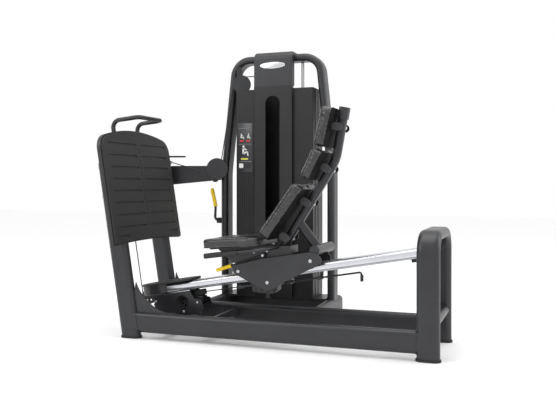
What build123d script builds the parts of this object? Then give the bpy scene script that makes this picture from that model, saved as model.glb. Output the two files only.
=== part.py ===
from build123d import *
import math
import os

# Leg press machine: a padded sled on an inclined rail, a fixed footplate and a cable to a weight tower.
# Working frame, millimetres: +Z up with the floor at 0, +X from the footplate to the rear stand,
# +Y from the rail's centre plane to the weight tower. The finished model is moved at the end so that
# its origin is the middle of the footprint.

# ---- driving dimensions ------------------------------------------------------------------------
TUBE_DEEP = 110             # flat-oval frame tube, long side
TUBE_THIN = 55              # flat-oval frame tube, short side
BEAM_Y = 231                # base beams stand this far from the rail's centre plane
BEAM_Z = 86                 # height of the base beams' centre line
CROSSBAR_Z, CROSSBAR_R = 88, 24         # round tubes between the beams under the front mechanism
STAND_X = 1588              # rear stand
STAND_TOP = 583             # height of the arch's centre line
STAND_BEND = 95             # bend radius of the arch's corners
WALL = 3                    # wall of the frame's tubes
PAD_THICK = 12              # foot pads
LEAN = 9.2                  # front uprights and footplate lean away from the sled, degrees
UPRIGHT_LONG = 950          # length of the uprights along their lean

RAIL_ANGLE = 9.75           # incline of the rail, degrees
RAIL_X, RAIL_Z = 325, 282   # a point on the rail's centre line
RAIL_WIDE, RAIL_HIGH = 130, 50
CHEEK_Y = 56                # side plates of the front mechanism
RAIL_FRONT, RAIL_REAR = -225, 1275      # ends of the rail along the incline, from that point
TRAVEL = 450                # how far the sled moves along the rail

PLATE_OUT = 95              # outer face of the sled's side plates
PLATE_THICK = 8
ROLLER_R = 15
AXLE_R = 6
GAP = 0.5                   # clearance between parts that move past each other

FOOT_WIDE, FOOT_HIGH = 740, 640         # footplate
FOOT_BOTTOM = 505           # height of the footplate's lower edge
FOOT_FACE_X = -12           # front face of the mat at that height
SHELL_THICK, MAT_THICK = 26, 12
PLATE_BAR_X, PLATE_BAR_Z = -134, 870    # tube between the uprights behind the footplate

TOWER_X = 541               # middle of the weight tower
POST_SPAN = 350             # tower posts, half distance
POST_THIN, POST_DEEP = 46, 110
POST_Y = 609
TOWER_TOP = 1642
SHROUD_HALF, SHROUD_FRONT, SHROUD_BACK = 250, 525, 728
SHROUD_BASE, SHROUD_TOP = 141, 1415
COLUMN_HALF, COLUMN_FRONT = 124, 500
COLUMN_TOP = 1430
STACK_Y = 625               # middle of the weight stack
ROD_SPAN = 155              # guide rods, half distance
ROD_R = 10
WEIGHT = (430, 110, 24)     # one weight plate
WEIGHTS_LIFTED, WEIGHTS_RESTING = 6, 10
WEIGHT_PITCH = 25
STACK_BASE = 200            # underside of the lowest weight plate

SHEAVE_R = 38               # radius at which the cable runs
CABLE_R = 3
CLAMP_X, CLAMP_Z = 525, 266             # where the cable is clamped under the sled
CABLE_JOIN_X = 330          # the run to the sled starts at the stop block
CABLE_JOIN_Z = 1425         # the run to the weights starts under the stack sheave
HEAD_Z = STACK_BASE + WEIGHT_PITCH * (WEIGHTS_LIFTED + WEIGHTS_RESTING) + 36
SHEAVE_NAMES = ["front", "turn", "plate", "shelf", "arm", "side", "stack"]

ROLLERS = {"front": 573, "middle": 725, "rear": 975}    # roller axles along the rail
SEAT_TILT = 4.7             # the seat rises towards the back, degrees
BACK_RUN = [(792, 0, 496), (1079, 0, 955), (1127, 0, 1226)]     # back tube, bent behind the head

START_PIVOT = (700, -76, 452)           # yellow lever under the seat
SAFETY_PIVOT = (150, 585, 598)          # yellow lever on the tower
ADJUSTER_Y, ADJUSTER_R = 44, 5          # rod beside the rail

nodes = {}
cores = {}                  # the hollow of each tube, taken out once everything is fitted to its outside


def lean_point(z, offset=0.0):
    """X of a line that leans with the uprights, offset mm towards +X from the uprights' middle."""
    return -math.tan(math.radians(LEAN)) * z + offset


def on_rail(x, off=0.0):
    """Point of the rail's centre plane at x, moved off mm square to the rail."""
    a = math.radians(RAIL_ANGLE)
    z = RAIL_Z + math.tan(a) * (x - RAIL_X)
    return (x - off * math.sin(a), 0, z + off * math.cos(a))


def moved(point, y):
    """The same point at another y."""
    return (point[0], y, point[2])


RAIL_DIR = Vector(math.cos(math.radians(RAIL_ANGLE)), 0, math.sin(math.radians(RAIL_ANGLE)))
RAIL_UP = Vector(-RAIL_DIR.Z, 0, RAIL_DIR.X)


def bar(p, q, sketch, x_dir=(0, 1, 0)):
    """A straight bar of the given section from p to q."""
    p, q = Vector(*p), Vector(*q)
    return extrude(Plane(p, x_dir=x_dir, z_dir=q - p) * sketch, (q - p).length)


def rod(p, q, r):
    """A straight round bar from p to q."""
    return bar(p, q, Circle(r), x_dir=Plane(Vector(*p), z_dir=Vector(*q) - Vector(*p)).x_dir)


def pipe(points, radii, sketch, x_dir=None):
    """A bar of the given section swept along straight runs joined by arcs of the given radii."""
    path = FilletPolyline(*points, radius=radii) if len(points) > 2 else Line(*points)
    start = Plane(path @ 0, x_dir=x_dir, z_dir=path % 0) if x_dir else Plane(path @ 0, z_dir=path % 0)
    return sweep(start * sketch, path)


def side_plate(outline, y_low, y_high):
    """A plate with the given outline of (x, z) points, between two y positions."""
    face = Plane.XZ * make_face(Polyline(*outline, close=True))
    return extrude(face, -(y_high - y_low)).moved(Location((0, y_low, 0)))


def oval(deep, thin):
    """Flat-oval tube section with its long side along the local x."""
    return SlotOverall(deep, thin)


def inner_oval(deep, thin):
    """The hollow of a flat-oval tube."""
    return SlotOverall(deep - 2 * WALL, thin - 2 * WALL)


def bolt(point, direction, r=8, head=6):
    """Dome-headed screw seated at point with its head standing out along direction."""
    seat = Plane(Vector(*point), z_dir=Vector(*direction))
    body = extrude(seat * Circle(r), head)
    body = fillet(body.edges().group_by(lambda e: (e.center() - seat.origin).dot(seat.z_dir))[-1], head * 0.6)
    socket = extrude(seat.offset(head * 0.5) * RegularPolygon(r * 0.45, 6), head)
    return body - socket


def corner_centre(before, corner, after, r):
    """Middle of the arc of radius r that rounds a corner of a cable's route."""
    to_before = (Vector(*before) - Vector(*corner)).normalized()
    to_after = (Vector(*after) - Vector(*corner)).normalized()
    half = math.radians(to_before.get_angle(to_after) / 2)
    return Vector(*corner) + (to_before + to_after).normalized() * (r / math.sin(half))


def corner_axis(before, corner, after):
    """Axis of the sheave that turns the cable at a corner of its route."""
    return (Vector(*corner) - Vector(*before)).cross(Vector(*after) - Vector(*corner)).normalized()


def sheave(centre, axis, spokes=5, wide=16, bore=AXLE_R + 0.05):
    """Grooved cable wheel with round windows between its spokes."""
    rim = SHEAVE_R + 5
    wheel = Cylinder(rim, wide)
    groove = CABLE_R + GAP
    wheel -= [Torus(SHEAVE_R, groove), Cylinder(rim + 1, 2 * groove) - Cylinder(SHEAVE_R, 2 * groove)]
    wheel -= Cylinder(bore, wide)
    for i in range(spokes):
        wheel -= Rot(0, 0, 360 / spokes * i) * Pos(SHEAVE_R * 0.56, 0, 0) * Cylinder(SHEAVE_R * 0.22, wide)
    return Plane(Vector(*centre), z_dir=axis).location * wheel


# ---- base frame --------------------------------------------------------------------------------
def make_base():
    stand_path = [(STAND_X, -BEAM_Y, 430), (STAND_X, -BEAM_Y, STAND_TOP), (STAND_X, BEAM_Y, STAND_TOP),
                  (STAND_X, BEAM_Y, 430)]
    section, hollow = oval(TUBE_DEEP, TUBE_THIN), inner_oval(TUBE_DEEP, TUBE_THIN)
    nodes["stand_arch"] = pipe(stand_path, STAND_BEND, section, x_dir=(1, 0, 0))
    cores["stand_arch"] = pipe(stand_path, STAND_BEND, hollow, x_dir=(1, 0, 0))
    face_box = footplate_body(FOOT_WIDE, FOOT_HIGH, SHELL_THICK + MAT_THICK, 0)
    for side, y in (("left", -BEAM_Y), ("right", BEAM_Y)):
        leg_run = (STAND_X, y, PAD_THICK), (STAND_X, y, 430)
        upright_run = (lean_point(-60), y, -60), (lean_point(UPRIGHT_LONG), y, UPRIGHT_LONG)
        capped_run = upright_run[0], (lean_point(UPRIGHT_LONG - WALL), y, UPRIGHT_LONG - WALL)
        beam_run = (lean_point(BEAM_Z), y, BEAM_Z), (STAND_X, y, BEAM_Z)
        across = (1, 0, -lean_point(1))
        leg = bar(*leg_run, section, x_dir=(1, 0, 0))
        upright = bar(*upright_run, section, x_dir=across)
        upright -= Pos(0, y, PAD_THICK - 100) * Box(400, 200, 200)
        beam = bar(*beam_run, section, x_dir=(0, 0, 1)) - upright - leg
        cores[f"stand_leg_{side}"] = bar(*leg_run, hollow, x_dir=(1, 0, 0))
        cores[f"front_upright_{side}"] = bar(*capped_run, hollow, x_dir=across)
        cores[f"base_beam_{side}"] = bar(*beam_run, hollow, x_dir=(0, 0, 1))
        nodes[f"base_beam_{side}"] = max(beam.solids(), key=lambda s: s.volume)
        nodes[f"stand_leg_{side}"] = leg
        nodes[f"front_upright_{side}"] = upright - face_box
    inside = BEAM_Y - TUBE_THIN / 2
    crossbar_run = (STAND_X, -inside, 172), (STAND_X, inside, 172)
    nodes["stand_crossbar"] = bar(*crossbar_run, oval(90, 50), x_dir=(1, 0, 0)) \
        - bar(*crossbar_run, inner_oval(90, 50), x_dir=(1, 0, 0))
    pads = []
    for x in (lean_point(PAD_THICK), STAND_X):
        for y in (-BEAM_Y, BEAM_Y):
            pad = extrude(Plane.XY * SlotOverall(TUBE_DEEP + 10, TUBE_THIN + 10), PAD_THICK)
            pads.append(Pos(x, y, 0) * fillet(pad.edges().group_by(Axis.Z)[-1], 3))
    for x in (TOWER_X - POST_SPAN, TOWER_X + POST_SPAN):
        pad = extrude(Plane.XY * SlotOverall(POST_DEEP + 12, POST_THIN + 12, rotation=90), PAD_THICK)
        pads.append(Pos(x, POST_Y, 0) * fillet(pad.edges().group_by(Axis.Z)[-1], 3))
    nodes["foot_pads"] = pads
    crossbar_runs = [((x, -inside, CROSSBAR_Z), (x, inside, CROSSBAR_Z)) for x in (190, 420)]
    nodes["front_crossbars"] = [rod(*run, CROSSBAR_R) - rod(*run, CROSSBAR_R - WALL) for run in crossbar_runs]
    gussets = []
    for y in (-BEAM_Y, BEAM_Y):
        low = BEAM_Z + TUBE_DEEP / 2
        outline = Polyline((0, low), (230, low)) + ThreePointArc((230, low), (95, 200), (24, 300)) \
            + Line((24, 300), (0, low))
        gusset = extrude(Plane.XZ * make_face(outline), 4, both=True).moved(Location((0, y, 0)))
        gusset -= nodes["front_upright_left" if y < 0 else "front_upright_right"]
        gusset -= nodes["base_beam_left" if y < 0 else "base_beam_right"]
        gussets.append(max(gusset.solids(), key=lambda s: s.volume))
    nodes["front_gussets"] = gussets


# ---- footplate ---------------------------------------------------------------------------------
def foot_plane(depth=0.0):
    """Plane of the mat's face, its origin at the middle of the lower edge, moved back by depth."""
    a = math.radians(LEAN)
    face = Vector(math.cos(a), 0, math.sin(a))
    return Plane(Vector(FOOT_FACE_X, 0, FOOT_BOTTOM) - face * depth, x_dir=(0, 1, 0), z_dir=face)


def foot_outline(wide, high, inset=0.0):
    """Arched outline: upright sides, big top corners, a crowned top and a slightly hollow lower edge."""
    w, top = wide / 2 - inset, high - inset
    shoulder = top - 52
    crown = ThreePointArc((-w, shoulder), (0, top), (w, shoulder))
    hem = ThreePointArc((w, inset), (0, inset + 12), (-w, inset))
    face = make_face(Line((-w, inset), (-w, shoulder)) + crown + Line((w, shoulder), (w, inset)) + hem)
    return fillet([v for v in face.vertices() if v.Y > shoulder - 1], 84)


def footplate_body(wide, high, thick, depth, inset=0.0):
    """Solid of the footplate's outline, its face depth mm behind the mat's face."""
    return extrude(foot_plane(depth) * foot_outline(wide, high, inset), -thick)


def make_footplate():
    shell = footplate_body(FOOT_WIDE, FOOT_HIGH, SHELL_THICK, MAT_THICK)
    shell = fillet(shell.edges().group_by(Axis(foot_plane().origin, foot_plane().z_dir))[0], 8)
    nodes["footplate_shell"] = shell
    mat = footplate_body(FOOT_WIDE, FOOT_HIGH, MAT_THICK, 0, inset=6)
    face = foot_plane()
    cutters = []
    groove_long, groove_wide, groove_deep = 285, 10, 4
    rows = 8
    for row in range(rows):
        v = 95 + row * (FOOT_HIGH - 180) / (rows - 1)
        for side in (-1, 1):
            cutters.append((side * (28 + groove_long / 2), v, groove_long, groove_wide))
        if row < rows - 1:
            cutters += [(0, v + step * 21, 5, 11) for step in (0, 1, 2)]
    cutters += [(-270, 45, 100, groove_wide), (270, 45, 100, groove_wide)]
    for u, v, w, h in cutters:
        shape = SlotOverall(w, h) if w > h else SlotOverall(h, w, rotation=90)
        mat -= extrude(face * Pos(u, v) * shape, -groove_deep)
    nodes["footplate_mat"] = mat
    bolts = []
    for y in (-BEAM_Y, BEAM_Y):
        for z in (600, 760, 920):
            seat = (lean_point(z) - TUBE_DEEP / 2 / math.cos(math.radians(LEAN)), y, z)
            bolts.append(bolt(seat, (-1, 0, -math.tan(math.radians(LEAN))), r=9))
    nodes["footplate_bolts"] = bolts
    stem_y, stem_x, handle_z = 130, lean_point(1160) - 2, 1203
    foot_z = PLATE_BAR_Z + 31
    half_run = [(PLATE_BAR_X - 4, -stem_y, foot_z), (stem_x, -stem_y, 1185), (-20, -stem_y, handle_z)]
    run = half_run + [moved(point, stem_y) for point in reversed(half_run)]
    nodes["footplate_handle"] = pipe(run, [42, 26, 26, 42], Circle(12.5))
    inside = BEAM_Y - TUBE_THIN / 2
    nodes["footplate_crossbar"] = bar((PLATE_BAR_X, -inside, PLATE_BAR_Z), (PLATE_BAR_X, inside, PLATE_BAR_Z),
                                      oval(60, 40), x_dir=(-math.tan(math.radians(LEAN)), 0, 1))


# ---- rail and front mechanism ------------------------------------------------------------------
def make_rail():
    middle = Vector(*on_rail(RAIL_X))
    start, end = middle + RAIL_DIR * RAIL_FRONT, middle + RAIL_DIR * RAIL_REAR
    section = RectangleRounded(RAIL_WIDE, RAIL_HIGH, 20)
    section -= [Pos(side * 25, RAIL_HIGH / 2) * Rectangle(5, 8) for side in (-1, 0, 1)]
    section -= RectangleRounded(RAIL_WIDE - 16, RAIL_HIGH - 28, 8)
    plane = Plane(start, x_dir=(0, 1, 0), z_dir=RAIL_DIR)
    nodes["rail"] = extrude(plane * Rot(0, 0, 180) * section, (end - start).length)
    under = Vector(*on_rail(RAIL_X, -RAIL_HIGH / 2 - 3))
    flange = Plane(under - RAIL_DIR * 272, x_dir=(0, 1, 0), z_dir=RAIL_DIR)
    nodes["rail_flange"] = extrude(flange * RectangleRounded(RAIL_WIDE - 14, 6, 2.5), 200)
    hanger_x = STAND_X - 28
    top = STAND_TOP - TUBE_THIN / 2
    low = on_rail(hanger_x, RAIL_HIGH / 2)[2] + 5
    hanger = Pos(hanger_x, 0, (top + low) / 2 + 1) * Box(12, 90, top - low + 2)
    nodes["rail_hanger"] = hanger - nodes["stand_arch"] - nodes["rail"]
    stop = Plane(Vector(*on_rail(1484, -RAIL_HIGH / 2)), x_dir=(0, 1, 0), z_dir=-RAIL_UP)
    nodes["rear_stop"] = extrude(stop * RectangleRounded(46, 30, 6), 18)


def rail_block(x, off, long, wide, high, radius=0.0):
    """A block lying along the rail, its middle off mm square to the rail's centre line at x."""
    block = Box(long, wide, high)
    block = fillet(block.edges().filter_by(Axis.Z), radius) if radius else block
    return Plane(Vector(*on_rail(x, off)), x_dir=RAIL_DIR, z_dir=RAIL_UP).location * block


def make_front():
    under = RAIL_HIGH / 2 + 8
    top = [(x, on_rail(x, -under)[2]) for x in (58, 262)]
    outline = [(36, 150), top[0], top[1], (286, 200), (330, 195), (345, 150), (320, CROSSBAR_Z + CROSSBAR_R),
               (60, CROSSBAR_Z + CROSSBAR_R)]
    cheeks = []
    for y in (-CHEEK_Y, CHEEK_Y):
        cheeks.append(fillet(side_plate(outline, y - 3, y + 3).edges().filter_by(Axis.Y), 6))
    window = Pos(*front_sheave_at()) * Rot(90, 0, 0) * Cylinder(SHEAVE_R + 1, 60)
    axle_hole = Pos(*front_sheave_at()) * Rot(90, 0, 0) * Cylinder(AXLE_R, 300)
    nodes["mechanism_cheeks"] = [cheeks[0] - Pos(0, -CHEEK_Y, 0) * window, cheeks[1] - axle_hole]
    nodes["mechanism_bolts"] = [bolt((x, -CHEEK_Y - 3, z), (0, -1, 0), r=7)
                                for x, z in ((52, 172), (225, 124), (308, 178))]
    post = Pos(300, 0, 156) * Box(50, 2 * CHEEK_Y - 6, 12)
    uprights = [Pos(300, side * 24, 186) * Box(50, 6, 48) for side in (-1, 1)]
    nodes["stop_bracket"] = post + uprights
    line = Plane(Vector(300, 0, cable_line(300)), x_dir=RAIL_DIR, z_dir=RAIL_UP).location
    block = line * fillet(Box(58, 42, 32).edges(), 6)
    nodes["stop_block"] = block - cable_bore(CABLE_R + 2) - [Pos(300, side * 24, 180) * Box(60, 6 + GAP, 60)
                                                             for side in (-1, 1)]
    tread = Plane(Vector(*on_rail(122, RAIL_HIGH / 2 + 3)), x_dir=RAIL_DIR, z_dir=RAIL_UP)
    pad = extrude(tread * SlotOverall(350, 196), 10)
    pad = fillet(pad.edges().group_by(Axis(tread.origin, tread.z_dir))[-1], 2.5)
    face = tread.offset(10)
    pad -= [extrude(face * Pos(0, v) * Rectangle(250, 3), -2) for v in range(-72, 73, 12)]
    nodes["step_tread"] = pad
    low = Plane(Vector(*on_rail(52, -RAIL_HIGH / 2 - 3)), x_dir=RAIL_DIR, z_dir=RAIL_UP)
    outer = extrude(low * SlotOverall(204, 170), RAIL_HIGH + 6)
    outer = fillet(outer.edges().group_by(Axis(low.origin, low.z_dir))[0], 10)
    hollow = extrude(low.offset(-1) * SlotOverall(192, 158), RAIL_HIGH + 1)
    clear = rail_block(170, 0, 170, RAIL_WIDE + 2 * GAP, RAIL_HIGH + 4)
    slot = Pos(lean_point(220) + 2, 0, 240) * Box(34, 30, 160)
    nodes["step_housing"] = outer - hollow - clear - slot - nodes["rail_flange"]
    nodes["step_tread"] -= slot


# ---- cable and sheaves -------------------------------------------------------------------------
def cable_line(x):
    """Height of the cable's run under the rail, which is parallel to the rail."""
    return CLAMP_Z + math.tan(math.radians(RAIL_ANGLE)) * (x - CLAMP_X)


def route():
    """Corners of the drive cable from the stop block to the weight stack."""
    turn_x, turn_z, climb = -58, 138, 852
    plate_top = (turn_x - math.tan(math.radians(LEAN)) * climb, 0, turn_z + climb)
    return [(CABLE_JOIN_X, 0, cable_line(CABLE_JOIN_X)), (205, 0, cable_line(205)), (turn_x, 0, turn_z),
            plate_top, (-190, 452, 985), (165, 538, 880), (272, 538, 1500), (TOWER_X, STACK_Y, 1512),
            (TOWER_X, STACK_Y, CABLE_JOIN_Z)]


def sheave_places():
    """Centre and axis of each sheave, in the order of SHEAVE_NAMES."""
    points = route()
    corners = [points[i:i + 3] for i in range(len(SHEAVE_NAMES))]
    return [(corner_centre(*corner, SHEAVE_R), corner_axis(*corner)) for corner in corners]


def front_sheave_at():
    return tuple(sheave_places()[0][0])


def cable_bore(r):
    """Space around the cable's run where it passes through the stop block."""
    return rod((240, 0, cable_line(240)), (380, 0, cable_line(380)), r)


def yoke(centre, axis, foot, gap=11, thick=4, wide=34):
    """Two cheeks beside a sheave, joined by a block at the foot."""
    along = Vector(*foot) - centre
    along = along - axis * along.dot(axis)
    plane = Plane(centre, x_dir=along, z_dir=axis)
    long = along.length
    cheek = Pos(long / 2, 0) * SlotCenterToCenter(long, wide) - Circle(AXLE_R + 1)
    pair = [extrude(plane.offset(side) * cheek, thick) for side in (gap, -gap - thick)]
    block = plane.location * Pos(long - 2, 0, 0) * Box(wide / 2, wide, 2 * gap + 1)
    return pair[0] + pair[1] + block


def make_cables():
    points = route()
    nodes["drive_cable"] = pipe(points, [SHEAVE_R] * len(SHEAVE_NAMES), Circle(CABLE_R))
    nodes["sled_cable"] = rod(points[0], (CLAMP_X, 0, CLAMP_Z), CABLE_R)
    nodes["stack_cable"] = rod(points[-1], (TOWER_X, STACK_Y, HEAD_Z), CABLE_R)
    places = dict(zip(SHEAVE_NAMES, sheave_places()))
    axles = []
    for name, (centre, axis) in places.items():
        nodes[f"{name}_sheave"] = sheave(centre, axis, spokes=6 if name == "front" else 5)
        reach = CHEEK_Y + 4 if name == "front" else 17
        far = axis if axis.Y > 0 else -axis
        near = 12 if name == "front" else reach
        axles.append(rod(tuple(centre - far * near), tuple(centre + far * reach), AXLE_R))
    nodes["sheave_axles"] = axles
    feet = {"turn": (40, 0, 205), "plate": (PLATE_BAR_X - 30, 36, PLATE_BAR_Z + 18),
            "shelf": (-166, 364, 985), "arm": (137, 560, 860), "side": (300, 560, 1548),
            "stack": (TOWER_X - 42, STACK_Y, 1560)}
    yokes = [yoke(*places[name], foot) for name, foot in feet.items()]
    nodes["sheave_yokes"] = yokes


# ---- arm between the footplate and the tower ---------------------------------------------------
def make_arm():
    base_x, bend_y = -165, 500
    base = Pos(base_x, (BEAM_Y + bend_y) / 2, 885) * Box(50, bend_y - BEAM_Y, 110)
    base = fillet(base.edges().filter_by(Axis.Y), 12) - nodes["front_upright_right"]
    nodes["arm_base"] = max(base.solids(), key=lambda s: s.center().Y) - Pos(base_x, BEAM_Y, 885) * Box(300, 40, 300)
    start, end = Vector(base_x, bend_y - 4, 0), Vector(176, 592, 0)
    along = (end - start).normalized()
    side = Plane(start, x_dir=along, z_dir=along.cross(Vector(0, 0, 1)))
    long = (end - start).length
    wedge = make_face(Polyline((20, 826), (long - 20, 856), (long, 876), (long, 920), (long - 20, 946),
                               (20, 946), (0, 930), (0, 840), close=True))
    beam = extrude(side * wedge, 23, both=True)
    nodes["arm_beam"] = beam - nodes["arm_base"] - nodes["tower_post_left"]
    centre, axis = sheave_places()[4]
    front = axis if axis.Y < 0 else -axis
    disc = Cylinder(68, 5)
    disc = fillet(disc.edges().group_by(Axis.Z)[-1], 2)
    nodes["arm_cover"] = Plane(centre + front * 20 + Vector(22, 5, -2), z_dir=front).location * disc
    centre, axis = sheave_places()[5]
    front = axis if axis.Y < 0 else -axis
    lid = Plane(centre + front * 20 + Vector(14, 4, -10), z_dir=front).location * Cylinder(58, 5)
    nodes["side_cover"] = lid - Pos(300, 540, SHROUD_TOP - 98) * Box(300, 100, 200)
    centre, axis = sheave_places()[3]
    top = Plane(centre + Vector(26, -6, 23), x_dir=(1, 0.25, 0), z_dir=(0, 0, 1))
    nodes["shelf_cover"] = extrude(top * Pos(18, 0) * SlotOverall(186, 64), 9)


# ---- weight tower ------------------------------------------------------------------------------
def make_tower():
    section = oval(POST_DEEP, POST_THIN)
    low, knee, top = PAD_THICK, 900, TOWER_TOP - 12 - POST_THIN / 2
    half, head = POST_SPAN, POST_SPAN - 76
    run = [(TOWER_X - half, POST_Y, low), (TOWER_X - half, POST_Y, knee), (TOWER_X - head, POST_Y, top),
           (TOWER_X + head, POST_Y, top), (TOWER_X + half, POST_Y, knee), (TOWER_X + half, POST_Y, low)]
    split = Pos(TOWER_X, POST_Y, top) * Box(2 * COLUMN_HALF, 300, 400)
    radii = [600, 105, 105, 600]
    frame = pipe(run, radii, section, x_dir=(0, 1, 0))
    core = pipe(run, radii, inner_oval(POST_DEEP, POST_THIN), x_dir=(0, 1, 0))
    cores.update(tower_post_left=core, tower_post_right=core, tower_top_tube=core)
    halves = (frame - split).solids().sort_by(Axis.X)
    nodes["tower_post_left"], nodes["tower_post_right"] = halves[0], halves[1]
    nodes["tower_top_tube"] = frame & split
    side_x = [TOWER_X - half, TOWER_X + half]
    members = [bar((x, BEAM_Y + TUBE_THIN / 2, 84), (x, 740, 84), oval(106, 56), x_dir=(0, 0, 1)) for x in side_x]
    member_cores = [bar((x, BEAM_Y + TUBE_THIN / 2, 84), (x, 740 - WALL, 84), inner_oval(106, 56), x_dir=(0, 0, 1))
                    for x in side_x]
    posts = nodes["tower_post_left"] + nodes["tower_post_right"]
    nodes["tower_base_members"] = [member - posts for member in members]
    cores["tower_base_members"] = member_cores[0] + member_cores[1]
    nodes["tower_base_rear"] = bar((side_x[0] + 28, 700, 84), (side_x[1] - 28, 700, 84), oval(80, 50), x_dir=(0, 0, 1))
    nodes["tower_floor"] = Pos(TOWER_X, 625, SHROUD_BASE - 6) * Box(2 * half - 46, 190, 10) \
        - nodes["tower_post_left"] - nodes["tower_post_right"] - nodes["tower_base_members"] \
        - nodes["tower_base_rear"]


def make_shroud():
    sheet = 3
    panel_wide = SHROUD_HALF - COLUMN_HALF
    high = SHROUD_TOP - SHROUD_BASE
    mid = (SHROUD_TOP + SHROUD_BASE) / 2
    for side, sign in (("left", -1), ("right", 1)):
        x = TOWER_X + sign * (COLUMN_HALF + panel_wide / 2)
        nodes[f"front_panel_{side}"] = Pos(x, SHROUD_FRONT + sheet / 2, mid) * Box(panel_wide - 2, sheet, high)
        x = TOWER_X + sign * (SHROUD_HALF - sheet / 2)
        depth = SHROUD_BACK - SHROUD_FRONT - sheet
        wall = Pos(x, SHROUD_FRONT + sheet + depth / 2, mid) * Box(sheet, depth, high)
        ribs = [Pos(x, SHROUD_FRONT + sheet + depth * f, mid) * Box(sheet + 4, 26, high) for f in (0.3, 0.6)]
        nodes[f"side_panel_{side}"] = wall + ribs
    nodes["rear_panel"] = Pos(TOWER_X, SHROUD_BACK + 1.5, mid) * Box(2 * SHROUD_HALF, 3, high)
    column_high = COLUMN_TOP - SHROUD_BASE
    body = Pos(TOWER_X, COLUMN_FRONT + 17, SHROUD_BASE + column_high / 2) * Box(2 * COLUMN_HALF, 34, column_high)
    body = chamfer(body.edges().filter_by(Axis.Z).group_by(Axis.Y)[0], 6)
    body -= Pos(TOWER_X, COLUMN_FRONT + 22, SHROUD_BASE + column_high / 2) \
        * Box(2 * COLUMN_HALF - 24, 36, column_high - 24)
    slot = Plane(Vector(TOWER_X, COLUMN_FRONT - 1, 0), x_dir=(1, 0, 0), z_dir=(0, 1, 0))
    reach = (1360 - 215) / 2
    shape = slot * Pos(0, -(215 + reach)) * SlotOverall(2 * reach, 74, rotation=90)
    body -= extrude(shape, 60)
    rim = extrude(slot * Pos(0, -(215 + reach)) * (SlotOverall(2 * reach + 20, 94, rotation=90)), 5)
    nodes["centre_column"] = body - rim
    cap_low, cap_front = COLUMN_TOP, COLUMN_FRONT
    cap = Pos(TOWER_X, cap_front + 92, (cap_low + TOWER_TOP) / 2) * Box(2 * COLUMN_HALF, 184, TOWER_TOP - cap_low)
    cap = fillet(cap.edges().filter_by(Axis.X).group_by(Axis.Z)[-1].sort_by(Axis.Y)[0], 46)
    cap = fillet(cap.faces().sort_by(Axis.X)[0].edges().filter_by(lambda e: e.center().Z > cap_low + 20), 10)
    cap = fillet(cap.faces().sort_by(Axis.X)[-1].edges().filter_by(lambda e: e.center().Z > cap_low + 20), 10)
    inner = Pos(TOWER_X, cap_front + 102, (cap_low + TOWER_TOP) / 2 - 13) \
        * Box(2 * COLUMN_HALF - 16, 190, TOWER_TOP - cap_low)
    inner = fillet(inner.edges().filter_by(Axis.X).group_by(Axis.Z)[-1].sort_by(Axis.Y)[0], 38)
    sides = Pos(TOWER_X, cap_front + 152, cap_low + 60) * Box(2 * COLUMN_HALF + 20, 200, 300 - 40)
    nodes["tower_cap"] = cap - inner - sides - nodes["tower_top_tube"]
    plate = Plane(Vector(TOWER_X, cap_front, 1556), x_dir=(1, 0, 0), z_dir=(0, -1, 0))
    nodes["badge_plate"] = extrude(plate * SlotOverall(150, 34), 3)
    board = Pos(TOWER_X - COLUMN_HALF - 66, SHROUD_FRONT - 1.5, 1056) * Box(100, 3, 306)
    nodes["placard"] = fillet(board.edges().filter_by(Axis.Y), 4)


def make_stack():
    rods = [rod((TOWER_X + s * ROD_SPAN, STACK_Y, SHROUD_BASE), (TOWER_X + s * ROD_SPAN, STACK_Y, 1592), ROD_R)
            for s in (-1, 1)]
    nodes["guide_rods"] = [r - nodes["tower_top_tube"] - nodes["tower_post_left"] - nodes["tower_post_right"]
                           for r in rods]
    holes = [Pos(s * ROD_SPAN, 0, 0) * Cylinder(ROD_R + 1.5, WEIGHT[2]) for s in (-1, 1)]
    stem_r, pin_r = 12, 4.5
    bore = Cylinder(stem_r + 1, WEIGHT[2])
    cross = Rot(90, 0, 0) * Cylinder(pin_r + 0.5, WEIGHT[1])
    one = Box(*WEIGHT) - holes - bore - cross
    one = chamfer(one.edges().filter_by(Axis.Z).filter_by(lambda e: abs(e.center().X) > 200), 5)
    slabs = [Pos(TOWER_X, STACK_Y, STACK_BASE + WEIGHT_PITCH * (i + 0.5)) * one
             for i in range(WEIGHTS_LIFTED + WEIGHTS_RESTING)]
    nodes["resting_weights"] = slabs[:WEIGHTS_RESTING]
    head_high = 30
    top = STACK_BASE + WEIGHT_PITCH * (WEIGHTS_LIFTED + WEIGHTS_RESTING)
    head = Pos(TOWER_X, STACK_Y, top + head_high / 2) * (Box(WEIGHT[0] - 20, WEIGHT[1] - 10, head_high - 1)
                                                         - [Pos(s * ROD_SPAN, 0, 0) * Cylinder(ROD_R + 1.5, 40)
                                                            for s in (-1, 1)])
    nodes["lifted_weights"] = slabs[WEIGHTS_RESTING:]
    nodes["stack_head"] = fillet(head.edges().filter_by(Axis.Z).filter_by(lambda e: abs(e.center().X - TOWER_X) > 180), 8)
    nodes["selector_stem"] = rod((TOWER_X, STACK_Y, STACK_BASE - 20), (TOWER_X, STACK_Y, top), stem_r) \
        - Pos(TOWER_X, STACK_Y, pin_height()) * Rot(90, 0, 0) * Cylinder(pin_r + 0.08, 60)
    knob_at = COLUMN_FRONT + 20
    pin = rod((TOWER_X, knob_at, pin_height()), (TOWER_X, STACK_Y + 20, pin_height()), pin_r)
    knob = Plane(Vector(TOWER_X, knob_at, pin_height()), z_dir=(0, -1, 0)).location * Cylinder(15, 34)
    nodes["selector_pin"] = pin + fillet(knob.edges(), 4)
    nodes["buffers"] = [Pos(TOWER_X + s * ROD_SPAN, STACK_Y, (SHROUD_BASE + STACK_BASE) / 2)
                        * (Cylinder(24, STACK_BASE - SHROUD_BASE) - Cylinder(ROD_R + 0.5, 80)) for s in (-1, 1)]


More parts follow.
